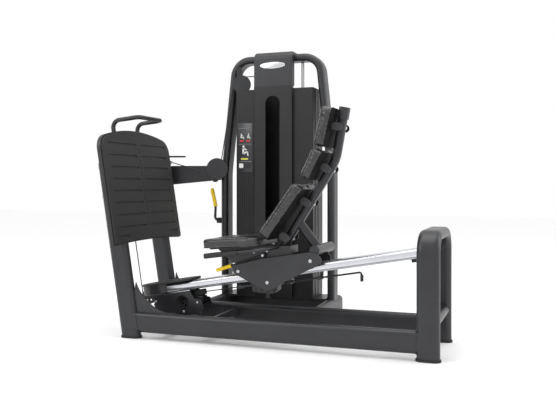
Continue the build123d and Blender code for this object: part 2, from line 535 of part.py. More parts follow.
def pin_height():
    return STACK_BASE + WEIGHT_PITCH * (WEIGHTS_RESTING + 0.5)


# ---- sled --------------------------------------------------------------------------------------
def roller_point(name):
    """Middle of a roller pair: the middle pair runs under the rail, the others on top of it."""
    side = -1 if name == "middle" else 1
    return on_rail(ROLLERS[name], side * (RAIL_HIGH / 2 + ROLLER_R + 0.1))


def make_sled():
    outline = [(530, 392), (702, 436), (962, 478), (1002, 474), (1028, 440), (1020, 418), (918, 366), (765, 284),
               (738, 270), (708, 276), (608, 320), (537, 355)]
    plates = []
    for y in (-PLATE_OUT, PLATE_OUT - PLATE_THICK):
        plate = side_plate(outline, y, y + PLATE_THICK)
        plate = fillet(plate.edges().filter_by(Axis.Y), 9)
        for name in ROLLERS:
            plate -= Pos(*moved(roller_point(name), y)) * Rot(90, 0, 0) * Cylinder(AXLE_R, 40)
        plates.append(plate)
    nodes["sled_plate_left"], nodes["sled_plate_right"] = plates
    inner = PLATE_OUT - PLATE_THICK
    axles, bolts = [], []
    for name in ROLLERS:
        x, _, z = roller_point(name)
        axles.append(rod((x, -PLATE_OUT, z), (x, PLATE_OUT, z), AXLE_R))
        bolts += [bolt((x, side * PLATE_OUT, z), (0, side, 0), r=10, head=7) for side in (-1, 1)]
        wheels = [Pos(x, side * 40, z) * Rot(90, 0, 0) * (Cylinder(ROLLER_R, 32) - Cylinder(AXLE_R + 0.05, 32))
                  for side in (-1, 1)]
        core = Pos(x, 0, z) * Rot(90, 0, 0) * (Cylinder(AXLE_R + 4, 48.2) - Cylinder(AXLE_R + 0.05, 50))
        nodes[f"{name}_rollers"] = wheels[0] + core + wheels[1]
    nodes["sled_axles"] = axles
    nodes["sled_bolts"] = bolts
    deck = side_plate([(600, 402), (702, 430), (940, 468), (940, 458), (702, 420), (600, 392)], -inner, inner)
    nodes["sled_deck"] = deck
    tube_r = 27
    nodes["sled_cross_tube"] = rod((988, -inner, 486), (988, 205, 486), tube_r) \
        - nodes["sled_plate_right"] - nodes["sled_deck"]
    nodes["cross_tube_cap"] = fillet(rod((988, 205, 486), (988, 213, 486), tube_r).edges().group_by(Axis.Y)[-1], 5)
    under = [side_plate([(640, 306), (700, 280), (765, 292), (790, 300), (790, 296), (765, 286), (700, 274),
                         (640, 300)], -inner, inner)]
    nodes["sled_floor"] = under
    clamp = Plane(Vector(CLAMP_X + 17, 0, cable_line(CLAMP_X + 17)), x_dir=RAIL_DIR, z_dir=RAIL_UP).location
    arm = bar((CLAMP_X + 30, 0, cable_line(CLAMP_X + 30)), (650, 0, cable_line(650)), Rectangle(30, 8))
    nodes["cable_clamp"] = clamp * fillet(Box(34, 26, 22).edges(), 4) + arm - under[0]
    nodes["latch_bolts"] = [bolt((640 + i * 36, -30, 259), (0, -1, 0), r=6, head=5) for i in range(4)]
    housing = side_plate([(622, 252), (622, 283), (700, 273), (765, 285), (765, 262), (740, 246), (660, 246)],
                         -30, 30)
    nodes["latch_housing"] = housing - nodes["cable_clamp"] - under[0] \
        - Pos(700, 0, 250) * Cylinder(9.1, 90)
    nodes["lock_pin"] = Pos(700, 0, 246) * (Cylinder(9, 50) + Pos(0, 0, -27) * Cylinder(14, 6))


def make_seat():
    a = math.radians(SEAT_TILT)
    seat = Plane(Vector(545, 0, 496), x_dir=(math.cos(a), 0, math.sin(a)), z_dir=(-math.sin(a), 0, math.cos(a)))
    cushion = extrude(seat * RectangleRounded(344, 384, 70), 50)
    nodes["seat_cushion"] = fillet(cushion.edges().group_by(Axis(seat.origin, seat.z_dir))[-1], 16)
    nodes["seat_pan"] = extrude(seat.offset(-0.5) * Pos(10, 0) * RectangleRounded(290, 300, 40), -5)
    bracket = side_plate([(432, 478), (520, 404), (602, 408), (702, 437), (850, 461), (850, 505), (700, 502)],
                         -62, 62)
    bracket -= nodes["seat_pan"]
    cut = side_plate([(470, 470), (530, 412), (602, 416), (702, 445), (840, 469), (840, 498), (700, 492)], -56, 56)
    keep = seat.offset(-6).location * Pos(0, 0, -100) * Box(900, 400, 200)
    nodes["seat_bracket"] = (bracket & keep) - cut - nodes["sled_deck"]
    sleeves, tubes = [], []
    for y in (-165, 165):
        grip_a, grip_b, end = (402, y, 446), (592, y, 472), (762, y, 497)
        sleeves.append(rod(grip_a, grip_b, 14) - rod((409, y, 447.0), (600, y, 473.1), 10.9))
        inner_y = y - math.copysign(103, y)
        tube = pipe([(412, y, 447.4), (752, y, 493.9), (776, inner_y, 497)], [40], Circle(10))
        tubes.append(tube)
    nodes["grip_sleeves"] = sleeves
    nodes["grip_tubes"] = [tube - nodes["seat_bracket"] for tube in tubes]
    nodes["seat_bolts"] = [bolt((x, -62, z), (0, -1, 0), r=7) for x, z in ((645, 466), (718, 474))]


def back_point(t, off):
    """Point beside the back tube: t along the cushions' line from the seat, off towards the user."""
    a, b, c = (Vector(*p) for p in BACK_RUN)
    low, high = (b - a), (c - b)
    base = a + low.normalized() * t if t <= low.length else b + high.normalized() * (t - low.length)
    run = (low if t <= low.length else high).normalized()
    square = Vector(-run.Z, 0, run.X)
    return base + square * off, run, square


def cushion(t, off, long, wide, thick, bulge, lean=0.0):
    """A closed pad with crowned face, its back off mm in front of the back tube's centre line."""
    point, run, square = back_point(t, off)
    tilt = math.radians(lean)
    plane = Plane(point, x_dir=(0, 1, 0), z_dir=square * math.cos(tilt) - run * math.sin(tilt))
    body = extrude(plane * RectangleRounded(wide, long, 34), thick)
    return fillet(body.edges().group_by(Axis(plane.origin, plane.z_dir))[-1], bulge)


def make_back():
    tube = pipe(BACK_RUN, [220], RectangleRounded(46, 52, 20), x_dir=(-0.8, 0, 0.5))
    nodes["back_tube"] = tube - Pos(800, 0, 400) * Box(400, 400, 2 * 105)
    run = back_point(640, 0)[1]
    top = Vector(*BACK_RUN[-1])
    low = top - run * 60
    plane = Plane(low, x_dir=(-run.Z, 0, run.X), z_dir=run)
    nodes["back_cover"] = extrude(plane * RectangleRounded(56, 62, 24), 62) \
        - extrude(plane * RectangleRounded(46.4, 52.4, 20), 60)
    nodes["back_tube"] = nodes["back_tube"] - nodes["back_cover"]
    brace = bar((870, 0, 636), (984, 0, 492), oval(50, 44), x_dir=(0.78, 0, 0.62))
    nodes["back_brace"] = brace - nodes["back_tube"] - nodes["sled_cross_tube"] - nodes["sled_deck"]
    nodes["back_brace"] = max(nodes["back_brace"].solids(), key=lambda s: s.volume)
    nodes["lower_cushion"] = cushion(176, 43, 344, 330, 66, 24, lean=-4)
    nodes["middle_cushion"] = cushion(474, 40, 176, 300, 62, 26, lean=6)
    nodes["head_cushion"] = cushion(700, 36, 220, 270, 64, 26, lean=-3)
    tabs, screws = [], []
    for t in (62, 280, 486, 712):
        point, run, square = back_point(t, 6)
        pair = []
        for side in (-1, 1):
            plane = Plane(Vector(point.X, side * 74, point.Z), x_dir=square, z_dir=(0, side, 0))
            pair.append(extrude(plane * SlotOverall(58, 42), 5))
        tabs.append(pair[0] + pair[1] + rod((point.X, -74, point.Z), (point.X, 74, point.Z), 7))
        back = Vector(*back_point(t, -23)[0])
        screws.append(bolt(tuple(back), tuple(-square), r=8))
    nodes["back_tube"] -= tabs
    nodes["cushion_tabs"] = tabs
    nodes["tab_screws"] = screws


# ---- levers ------------------------------------------------------------------------------------
def make_levers():
    x, y, z = START_PIVOT
    nodes["start_lever"] = rod((513, y, 389.6), (692, y, 449.3), 6) \
        + Pos(x, y, z) * Rot(90, 0, 0) * Cylinder(13, 14) - Pos(x, y, z) * Rot(90, 0, 0) * Cylinder(6, 20)
    nodes["start_grip"] = fillet(rod((427.6, y, 361.1), (513, y, 389.6), 10).edges(), 4)
    nodes["start_pivot"] = Pos(x, y + 9, z) * Rot(90, 0, 0) * Cylinder(5.95, 34)
    nodes["seat_bracket"] -= nodes["start_pivot"]
    px, py, pz = SAFETY_PIVOT
    run = [(px - 8, py, pz), (px - 33, py, pz + 5), (px - 29, py, 690)]
    nodes["safety_lever"] = pipe(run, [22], Circle(8)) \
        + Pos(px, py, pz) * Rot(90, 0, 0) * Cylinder(14, 22) - Pos(px, py, pz) * Rot(90, 0, 0) * Cylinder(6, 40)
    nodes["safety_grip"] = fillet(rod((121.3, py, 688), (94, py, 804), 12.5).edges(), 4) - nodes["safety_lever"]
    cheeks = [Pos(px + 8, py + s * 14, pz) * Box(44, 5, 34) for s in (-1, 1)]
    pin = Pos(px, py, pz) * Rot(90, 0, 0) * Cylinder(5.95, 33)
    nodes["safety_bracket"] = (cheeks[0] + cheeks[1] + pin) - nodes["tower_post_left"]
    y = ADJUSTER_Y
    a, b = Vector(*on_rail(780, -62)), Vector(*on_rail(1192, -62))
    end = b + Vector(4, 0, -46)
    handle = pipe([(a.X, y, a.Z), (b.X, y, b.Z), (end.X, y, end.Z)], [9], Circle(ADJUSTER_R))
    collars = [rod(moved(on_rail(x, -62), y), moved(on_rail(x + 6, -62), y), ADJUSTER_R + 4)
               for x in (782, 811, 953, 978)]
    nodes["adjuster_rod"] = handle + collars
    # A block at the rod's end and a hanger further back, both welded to the right side plate.
    inner = PLATE_OUT - PLATE_THICK
    bore = rod(moved(on_rail(770, -62), y), moved(on_rail(1010, -62), y), ADJUSTER_R + 0.05)
    _, _, near_z = on_rail(799.5, -62)
    _, _, far_z = on_rail(968.5, -62)
    near = Pos(810, (30 + inner) / 2, near_z + 9) * Box(20, inner - 30, 38)
    far = Pos(979, (30 + inner) / 2, far_z) * Box(16, inner - 30, 20) \
        + Pos(979, inner - 5, far_z + 42) * Box(16, 10, 96)
    nodes["rod_bearings"] = [near - bore, far - bore]
    nodes["adjuster_knob"] = fillet(rod((end.X - 0.2, y, end.Z + 34), (end.X, y, end.Z - 2), 8.5).edges(), 3) \
        - nodes["adjuster_rod"]


# ---- build and export --------------------------------------------------------------------------
for make in (make_base, make_footplate, make_rail, make_front, make_cables, make_tower, make_arm, make_shroud,
             make_stack, make_sled, make_seat, make_back, make_levers):
    make()
for name, core in cores.items():
    made = nodes[name]
    nodes[name] = [piece - core for piece in made] if isinstance(made, list) else made - core

# Pieces that are alike, or welded into one frame, share a file.
GROUPS = {
    "rear_stand": ["stand_arch", "stand_leg_left", "stand_leg_right"],
    "base_beams": ["base_beam_left", "base_beam_right"],
    "front_uprights": ["front_upright_left", "front_upright_right"],
    "cross_tubes": ["stand_crossbar", "front_crossbars", "footplate_crossbar"],
    "frame_brackets": ["front_gussets", "rail_hanger"],
    "frame_bolts": ["footplate_bolts", "mechanism_bolts"],
    "rail": ["rail", "rail_flange"],
    "rubber_stops": ["rear_stop", "stop_block", "buffers"],
    "mechanism_cheeks": ["mechanism_cheeks", "stop_bracket"],
    "sheave_brackets": ["sheave_axles", "sheave_yokes"],
    "pulley_arm": ["arm_base", "arm_beam"],
    "sheave_covers": ["arm_cover", "side_cover", "shelf_cover"],
    "tower_plates": ["badge_plate", "placard"],
    "tower_frame": ["tower_post_left", "tower_post_right", "tower_top_tube", "safety_bracket"],
    "tower_base": ["tower_base_members", "tower_base_rear", "tower_floor"],
    "front_panels": ["front_panel_left", "front_panel_right"],
    "shroud_panels": ["side_panel_left", "side_panel_right", "rear_panel"],
    "stack_head": ["stack_head", "selector_stem"],
    "sled_plates": ["sled_plate_left", "sled_plate_right"],
    "sled_fasteners": ["sled_axles", "sled_bolts", "seat_bolts", "tab_screws", "start_pivot"],
    "sled_frame": ["sled_deck", "sled_floor", "sled_cross_tube", "cross_tube_cap", "rod_bearings"],
    "latch_housing": ["latch_housing", "cable_clamp", "latch_bolts"],
    "seat_bracket": ["seat_pan", "seat_bracket", "grip_tubes"],
    "back_frame": ["back_tube", "back_brace"],
    "start_lever": ["start_lever", "start_grip"],
    "safety_lever": ["safety_lever", "safety_grip"],
    "adjuster_rod": ["adjuster_rod", "adjuster_knob"],
}


def flat(made):
    """All the solids of a piece or a list of pieces."""
    group = made if isinstance(made, (list, tuple)) else [made]
    return [solid for piece in group for solid in piece.solids()]


shared = {member for members in GROUPS.values() for member in members}
solids = {name: flat(made) for name, made in nodes.items() if name not in shared}
for name, members in GROUPS.items():
    solids[name] = [solid for member in members for solid in flat(nodes[member])]
everything = Compound([solid for group in solids.values() for solid in group]).bounding_box()
ORIGIN = Vector((everything.min.X + everything.max.X) / 2, (everything.min.Y + everything.max.Y) / 2,
                everything.min.Z)


def main():
    os.makedirs("parts", exist_ok=True)
    for name, group in solids.items():
        placed = [solid.moved(Location(-ORIGIN)) for solid in group]
        export_step(placed[0] if len(placed) == 1 else Compound(placed), f"parts/{name}.step")
    print("origin", tuple(round(v, 2) for v in ORIGIN), "nodes", len(solids))


if __name__ == "__main__":
    main()
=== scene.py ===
import math

import bmesh
import bpy
from mathutils import Matrix, Vector
from mathutils.bvhtree import BVHTree


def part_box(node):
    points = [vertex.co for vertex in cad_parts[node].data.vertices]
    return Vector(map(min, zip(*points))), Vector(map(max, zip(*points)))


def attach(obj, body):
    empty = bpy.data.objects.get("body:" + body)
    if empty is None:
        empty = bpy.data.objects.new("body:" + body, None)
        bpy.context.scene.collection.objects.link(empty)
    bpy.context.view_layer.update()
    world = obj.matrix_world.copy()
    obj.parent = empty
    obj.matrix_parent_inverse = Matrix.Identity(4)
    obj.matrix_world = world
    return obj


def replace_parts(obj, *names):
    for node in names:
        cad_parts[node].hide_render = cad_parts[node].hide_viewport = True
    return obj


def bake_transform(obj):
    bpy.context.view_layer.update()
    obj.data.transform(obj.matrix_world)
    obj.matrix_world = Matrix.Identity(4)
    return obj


BROAD_SCALE = 7.0          # of the slow colour and gloss variation
WELD_DISTANCE = 0.00001    # vertices nearer than this are one
VOXEL = 0.005
CLOTH_FRAMES, CLOTH_PRESSURE, BACK_SWELL = 20, 4, 0.002
SEAM_SHARE = 0.62          # of a pad's half thickness, from its middle to its seam
STITCH_ROWS = (0.004, 0.008)
SEAT_TILT = 4.7
START_LEVER_Y, SAFETY_LEVER_Y = -76, 585
LONG_EDGE, CABLE_CUTS = 0.04, 24
PHOTO_WIDTH, PHOTO_FOCAL, PHOTO_SHIFT = 556, 726, -24.5    # pixels

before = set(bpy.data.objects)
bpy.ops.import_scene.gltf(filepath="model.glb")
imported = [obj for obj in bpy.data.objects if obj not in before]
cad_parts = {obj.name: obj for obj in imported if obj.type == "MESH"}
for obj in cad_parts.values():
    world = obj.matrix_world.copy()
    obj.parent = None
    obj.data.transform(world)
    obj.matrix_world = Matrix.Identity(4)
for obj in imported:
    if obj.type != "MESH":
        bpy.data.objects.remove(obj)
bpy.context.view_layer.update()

# The stack's middle is at x 541 and y 625 mm from the machine's own datum, which fixes that datum here.
stack_low, stack_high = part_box("lifted_weights")
DATUM = Vector(((stack_low.x + stack_high.x) / 2 - 0.541, (stack_low.y + stack_high.y) / 2 - 0.625, 0))


def at(x, y, z):
    """A point given in millimetres from the datum, as metres in the row frame."""
    return Vector((x, y, z)) / 1000 + DATUM


# ---- materials ---------------------------------------------------------------------------------
def surface(name, colour, rough, metal=0.0, grain="noise", scale=900.0, bump=0.15, depth=0.0003, vary=0.18,
            rough_vary=0.10, stretch=(1, 1, 1), sheen=0.0, specular=0.5):
    """A procedural material: broad colour and gloss variation, and a fine grain as bump."""
    mat = bpy.data.materials.new(name)
    mat.use_nodes = True
    tree = mat.node_tree
    shader = tree.nodes["Principled BSDF"]
    link = tree.links.new
    place = tree.nodes.new("ShaderNodeTexCoord")
    stretched = tree.nodes.new("ShaderNodeMapping")
    stretched.inputs["Scale"].default_value = stretch
    link(place.outputs["Object"], stretched.inputs["Vector"])
    broad = tree.nodes.new("ShaderNodeTexNoise")
    broad.inputs["Scale"].default_value = BROAD_SCALE
    broad.inputs["Detail"].default_value = 5
    link(place.outputs["Object"], broad.inputs["Vector"])
    tint = tree.nodes.new("ShaderNodeValToRGB")
    tint.color_ramp.elements[0].position, tint.color_ramp.elements[1].position = 0.3, 0.7
    tint.color_ramp.elements[0].color = [c * (1 - vary) for c in colour] + [1]
    tint.color_ramp.elements[1].color = [min(1, c * (1 + vary)) for c in colour] + [1]
    link(broad.outputs["Fac"], tint.inputs["Fac"])
    link(tint.outputs["Color"], shader.inputs["Base Color"])
    gloss = tree.nodes.new("ShaderNodeMapRange")
    gloss.inputs["To Min"].default_value = max(0.02, rough - rough_vary)
    gloss.inputs["To Max"].default_value = min(1.0, rough + rough_vary)
    link(broad.outputs["Fac"], gloss.inputs["Value"])
    link(gloss.outputs["Result"], shader.inputs["Roughness"])
    if grain == "leather":
        fine = tree.nodes.new("ShaderNodeTexVoronoi")
        fine.feature = "DISTANCE_TO_EDGE"
        height = fine.outputs["Distance"]
    elif grain == "flutes":
        fine = tree.nodes.new("ShaderNodeTexWave")
        fine.bands_direction = "X"
        height = fine.outputs["Fac"]
    else:
        fine = tree.nodes.new("ShaderNodeTexNoise")
        fine.inputs["Detail"].default_value = 3
        height = fine.outputs["Fac"]
    fine.inputs["Scale"].default_value = scale
    link(stretched.outputs["Vector"], fine.inputs["Vector"])
    relief = tree.nodes.new("ShaderNodeBump")
    relief.inputs["Strength"].default_value = bump
    relief.inputs["Distance"].default_value = depth
    link(height, relief.inputs["Height"])
    link(relief.outputs["Normal"], shader.inputs["Normal"])
    shader.inputs["Metallic"].default_value = metal
    shader.inputs["Sheen Weight"].default_value = sheen
    shader.inputs["Specular IOR Level"].default_value = specular
    return mat


MATS = {
    "coat": surface("powder_coat", (0.017, 0.0175, 0.020), 0.36, scale=1500, bump=0.22),
    "cover": surface("cover_coat", (0.021, 0.0215, 0.024), 0.38, scale=1500, bump=0.20),
    "panel": surface("shroud_sheet", (0.004, 0.004, 0.005), 0.44, grain="flutes", scale=26, bump=0.5,
                     depth=0.0012, vary=0.1),
    "column": surface("column_coat", (0.006, 0.0062, 0.0075), 0.36, scale=1700, bump=0.15),
    "mat": surface("mat_rubber", (0.015, 0.015, 0.015), 0.60, scale=700, bump=0.35, depth=0.0006, vary=0.14),
    "rubber": surface("foot_rubber", (0.012, 0.012, 0.013), 0.72, scale=500, bump=0.3, depth=0.0006),
    "sleeve": surface("grip_rubber", (0.016, 0.016, 0.017), 0.58, scale=1100, bump=0.5, depth=0.0006),
    "leather": surface("seat_leather", (0.015, 0.015, 0.016), 0.27, grain="leather", scale=420, bump=0.35,
                       depth=0.0005, vary=0.2, sheen=0.04),
    "side": surface("side_leather", (0.015, 0.015, 0.017), 0.30, grain="leather", scale=420, bump=0.35,
                    depth=0.0005, vary=0.12, specular=0.7),
    "back": surface("back_cloth", (0.003, 0.003, 0.0035), 0.75, scale=1300, bump=0.3, specular=0.15),
    "thread": surface("stitch_thread", (0.42, 0.43, 0.45), 0.62, scale=2600, bump=0.5, depth=0.0003),
    "rail": surface("rail_alloy", (0.60, 0.61, 0.64), 0.26, metal=1.0, scale=420, bump=0.10, depth=0.0002,
                    stretch=(0.02, 1, 1), vary=0.05, rough_vary=0.06),
    "chrome": surface("chrome_rod", (0.70, 0.71, 0.73), 0.12, metal=1.0, scale=300, bump=0.05, vary=0.04,
                      rough_vary=0.04),
    "zinc": surface("zinc_steel", (0.56, 0.57, 0.59), 0.30, metal=1.0, scale=900, bump=0.12, vary=0.1),
    "iron": surface("stack_paint", (0.018, 0.018, 0.020), 0.50, scale=380, bump=0.4, depth=0.0006),
    "wheel": surface("wheel_nylon", (0.022, 0.022, 0.024), 0.44, scale=900, bump=0.2),
    "cable": surface("cable_jacket", (0.015, 0.015, 0.016), 0.40, scale=1400, bump=0.3),
    "yellow": surface("yellow_grip", (0.95, 0.64, 0.006), 0.40, scale=800, bump=0.25, depth=0.0004, vary=0.06),
    "weld": surface("weld_bead", (0.020, 0.021, 0.024), 0.38, scale=260, bump=0.8, depth=0.0010),
    "silver": surface("silver_trim", (0.60, 0.61, 0.63), 0.28, metal=0.9, scale=900, bump=0.08, vary=0.05),
    "plate": surface("badge_plate", (0.030, 0.031, 0.034), 0.30, scale=900, bump=0.1, vary=0.1),
    "white": surface("print_white", (0.78, 0.78, 0.76), 0.45, scale=900, bump=0.1, vary=0.03),
    "red": surface("print_red", (0.55, 0.03, 0.025), 0.45, scale=900, bump=0.1, vary=0.05),
    "lime": surface("print_yellow", (0.66, 0.62, 0.10), 0.45, scale=900, bump=0.1, vary=0.05),
    "grey": surface("print_grey", (0.25, 0.26, 0.27), 0.45, scale=900, bump=0.1, vary=0.05),
}

NODE_LOOKS = {
    "mat": ["footplate_mat", "step_tread"],
    "rubber": ["foot_pads", "rubber_stops"],
    "sleeve": ["grip_sleeves"],
    "rail": ["rail"],
    "chrome": ["guide_rods"],
    "zinc": ["frame_bolts", "sled_fasteners", "selector_pin"],
    "iron": ["lifted_weights", "resting_weights", "stack_head", "lock_pin", "adjuster_rod", "sheave_brackets"],
    "wheel": ["front_rollers", "middle_rollers", "rear_rollers"],
    "panel": ["front_panels", "shroud_panels"],
    "column": ["centre_column"],
    "cover": ["footplate_shell", "sled_plates", "latch_housing", "seat_bracket", "tower_cap", "sheave_covers",
              "step_housing", "back_cover", "cushion_tabs"],
}
looks = {node: key for key, group in NODE_LOOKS.items() for node in group}
for node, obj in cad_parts.items():
    key = looks.get(node, "wheel" if node.endswith("_sheave") else "coat")
    if obj.material_slots:
        for slot in obj.material_slots:
            slot.material = MATS[key]
    else:
        obj.data.materials.append(MATS[key])


# ---- mesh helpers ------------------------------------------------------------------------------
def frames_along(points, closed=False):
    """A square pair of directions at each point of a path, turned as little as possible on the way."""
    count = len(points)
    tangents = []
    for i in range(count):
        ahead = points[(i + 1) % count] if closed or i < count - 1 else points[i]
        behind = points[i - 1] if closed or i > 0 else points[i]
        tangents.append((ahead - behind).normalized())
    first = tangents[0].orthogonal().normalized()
    pairs = []
    for tangent in tangents:
        first = (first - tangent * first.dot(tangent)).normalized()
        pairs.append((first.copy(), tangent.cross(first)))
    return pairs


def tube(points, radius, sides=14, closed=False):
    """Vertices and faces of a round bar along a path. The radius may be a list, one for each point."""
    points = [Vector(p) for p in points]
    radii = radius if isinstance(radius, (list, tuple)) else [radius] * len(points)
    verts, faces = [], []
    for point, r, (u, v) in zip(points, radii, frames_along(points, closed)):
        for k in range(sides):
            turn = 2 * math.pi * k / sides
            verts.append(point + (u * math.cos(turn) + v * math.sin(turn)) * r)
    rings = len(points)
    for i in range(rings if closed else rings - 1):
        a, b = i * sides, (i + 1) % rings * sides
        for k in range(sides):
            n = (k + 1) % sides
            faces.append((a + k, a + n, b + n, b + k))
    if not closed:
        faces.append(tuple(reversed(range(sides))))
        faces.append(tuple(range((rings - 1) * sides, rings * sides)))
    return verts, faces


def turned(start, axis, profile, sides):
    """A turned shape: profile lists (distance along the axis, radius)."""
    u = axis.orthogonal().normalized()
    v = axis.cross(u)
    verts, faces = [], []
    for along, r in profile:
        for k in range(sides):
            turn = 2 * math.pi * k / sides
            verts.append(start + axis * along + (u * math.cos(turn) + v * math.sin(turn)) * r)
    for i in range(len(profile) - 1):
        for k in range(sides):
            n = (k + 1) % sides
            faces.append((i * sides + k, i * sides + n, (i + 1) * sides + n, (i + 1) * sides + k))
    faces.append(tuple(reversed(range(sides))))
    faces.append(tuple(range((len(profile) - 1) * sides, len(profile) * sides)))
    return verts, faces


def slab(outline, thick, normal, round_off=0.0):
    """A plate from a closed outline, extruded along normal."""
    count = len(outline)
    middle = sum(outline, Vector()) / count
    rings = [(0.0, 0.0), (max(0.0, thick - round_off), 0.0)]
    if round_off:
        rings.append((thick - round_off * 0.3, round_off * 0.35))
        rings.append((thick, round_off))
    verts = []
    for up, inward in rings:
        for point in outline:
            verts.append(point + normal * up + (middle - point).normalized() * inward)
    faces = [tuple(reversed(range(count)))]
    for i in range(len(rings) - 1):
        for k in range(count):
            n = (k + 1) % count
            faces.append((i * count + k, i * count + n, (i + 1) * count + n, (i + 1) * count + k))
    faces.append(tuple(range((len(rings) - 1) * count, len(rings) * count)))
    return verts, faces


def piece(name, parts, body, smooth=True):
    """One object from a list of (vertices, faces, material key), riding on a body."""
    mesh = bpy.data.meshes.new(name)
    keys = []
    verts, faces, index = [], [], []
    for part_verts, part_faces, key in parts:
        if key not in keys:
            keys.append(key)
        start = len(verts)
        verts += [tuple(v) for v in part_verts]
        faces += [tuple(start + i for i in face) for face in part_faces]
        index += [keys.index(key)] * len(part_faces)
    mesh.from_pydata(verts, [], faces)
    for key in keys:
        mesh.materials.append(MATS[key])
    for polygon, number in zip(mesh.polygons, index):
        polygon.material_index = number
    made = bmesh.new()
    made.from_mesh(mesh)
    bmesh.ops.recalc_face_normals(made, faces=made.faces)
    made.to_mesh(mesh)
    made.free()
    obj = bpy.data.objects.new(name, mesh)
    bpy.context.scene.collection.objects.link(obj)
    if smooth:
        mesh.shade_smooth()
        mesh.set_sharp_from_angle(angle=math.radians(38))
    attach(obj, body)
    return obj


def arc_points(centre, radius_a, radius_b, u, v, count):
    """Points of an ellipse."""
    turns = [2 * math.pi * i / count for i in range(count)]
    return [centre + u * radius_a * math.cos(turn) + v * radius_b * math.sin(turn) for turn in turns]


def rounded_loop(centre, u, v, half_u, half_v, corner, count=8):
    """Points of a rectangle with round corners."""
    points = []
    for number, (su, sv) in enumerate(((1, 1), (-1, 1), (-1, -1), (1, -1))):
        middle = centre + u * su * (half_u - corner) + v * sv * (half_v - corner)
        for i in range(count + 1):
            turn = math.radians(90 * number + 90 * i / count)
            points.append(middle + u * corner * math.cos(turn) + v * corner * math.sin(turn))
    return points


# ---- padded pieces -----------------------------------------------------------------------------
def evaluated(obj, name):
    """Replaces the object's mesh with its mesh after modifiers."""
    graph = bpy.context.evaluated_depsgraph_get()
    made = bpy.data.meshes.new_from_object(obj.evaluated_get(graph))
    obj.modifiers.clear()
    obj.data = made
    made.name = name
    return made


def move(obj, places):
    """Puts every vertex at its new place in one go."""
    obj.data.vertices.foreach_set("co", [number for place in places for number in place])
    obj.data.update()


def swell(obj, front, cap, back_cap):
    """Blows the pad up as cloth, then limits how far each point has moved."""
    before = [v.co.copy() for v in obj.data.vertices]
    normals = [v.normal.copy() for v in obj.data.vertices]
    cloth = obj.modifiers.new("cloth", "CLOTH")
    cloth.settings.use_pressure = True
    cloth.settings.uniform_pressure_force = CLOTH_PRESSURE
    cloth.settings.quality = 5
    cloth.settings.effector_weights.gravity = 0
    cloth.point_cache.frame_start, cloth.point_cache.frame_end = 1, CLOTH_FRAMES
    for number in range(1, CLOTH_FRAMES + 1):
        bpy.context.scene.frame_set(number)
    graph = bpy.context.evaluated_depsgraph_get()
    after = [v.co.copy() for v in obj.evaluated_get(graph).data.vertices]
    obj.modifiers.clear()
    bpy.context.scene.frame_set(1)
    moved = []
    for old, normal, new in zip(before, normals, after):
        limit = back_cap if normal.dot(front) < -0.5 else cap
        step = new - old
        if step.length > limit:
            step = step.normalized() * limit
        moved.append(old + step)
    move(obj, moved)


def cushion(name, node, body, front, along, channels, cap=0.007, shrink=0.004):
    """A sewn pad grown from its CAD solid: swollen front, sewn channels, side band, dull back and seam."""
    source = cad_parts[node]
    obj = bpy.data.objects.new(name, source.data.copy())
    bpy.context.scene.collection.objects.link(obj)
    made = bmesh.new()
    made.from_mesh(obj.data)
    bmesh.ops.remove_doubles(made, verts=made.verts, dist=WELD_DISTANCE)
    bmesh.ops.recalc_face_normals(made, faces=made.faces)
    made.to_mesh(obj.data)
    made.free()
    remesh = obj.modifiers.new("voxels", "REMESH")
    remesh.mode = "VOXEL"
    remesh.voxel_size = VOXEL
    evaluated(obj, name)
    move(obj, [v.co - v.normal * shrink for v in obj.data.vertices])
    swell(obj, front, cap, BACK_SWELL)
    across = along.cross(front).normalized()
    coords = [v.co for v in obj.data.vertices]
    middle = Vector([(min(c[i] for c in coords) + max(c[i] for c in coords)) / 2 for i in range(3)])
    half = [max(abs((c - middle).dot(d)) for c in coords) for d in (across, along, front)]
    smooth = obj.modifiers.new("finer", "SUBSURF")
    smooth.levels = smooth.render_levels = 1
    evaluated(obj, name)
    places = []
    for vertex in obj.data.vertices:
        local = vertex.co - middle
        u, v = local.dot(across), local.dot(along)
        sink = channels(u / half[0], v / half[1], u, v) if vertex.normal.dot(front) > 0.1 else 0.0
        places.append(vertex.co - front * sink)
    move(obj, places)
    obj.data.materials.clear()
    obj.data.materials.append(MATS["leather"])
    obj.data.materials.append(MATS["side"])
    obj.data.materials.append(MATS["back"])
    seam_level = half[2] * SEAM_SHARE
    for polygon in obj.data.polygons:
        level = (polygon.center - middle).dot(front)
        polygon.material_index = 2 if polygon.normal.dot(front) < -0.7 else 1 if level < seam_level else 0
        polygon.use_smooth = True
    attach(obj, body)
    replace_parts(obj, node)
    sew(name, obj, middle, across, along, front, half, seam_level, body)
    return obj


def sew(name, obj, middle, across, along, front, half, level, body):
    """A piped seam round the pad at the given level, and two rows of stitches towards the face."""
    tree = BVHTree.FromPolygons([v.co for v in obj.data.vertices], [p.vertices for p in obj.data.polygons])

    def ring(height, count, lift):
        points = []
        for i in range(count):
            turn = 2 * math.pi * i / count
            out = across * math.cos(turn) * half[0] + along * math.sin(turn) * half[1]
            origin = middle + front * height + out * 2.2
            hit, normal, _, _ = tree.ray_cast(origin, -out.normalized())
            if hit is not None:
                points.append((hit + normal * lift, normal))
        return points

    cord = [point for point, _ in ring(level, 150, 0.0004)]
    parts = [(*tube(cord, 0.0016, 8, closed=True), "leather")]
    for offset in STITCH_ROWS:
        path = ring(level + offset, 300, 0.0002)
        for i in range(0, len(path) - 2, 3):
            (a, normal), (b, _) = path[i], path[i + 2]
            parts.append((*tube([a, (a + b) / 2 + normal * 0.0005, b], [0.0004, 0.0007, 0.0004], 6), "thread"))
    piece(f"{name}_seam", parts, body)


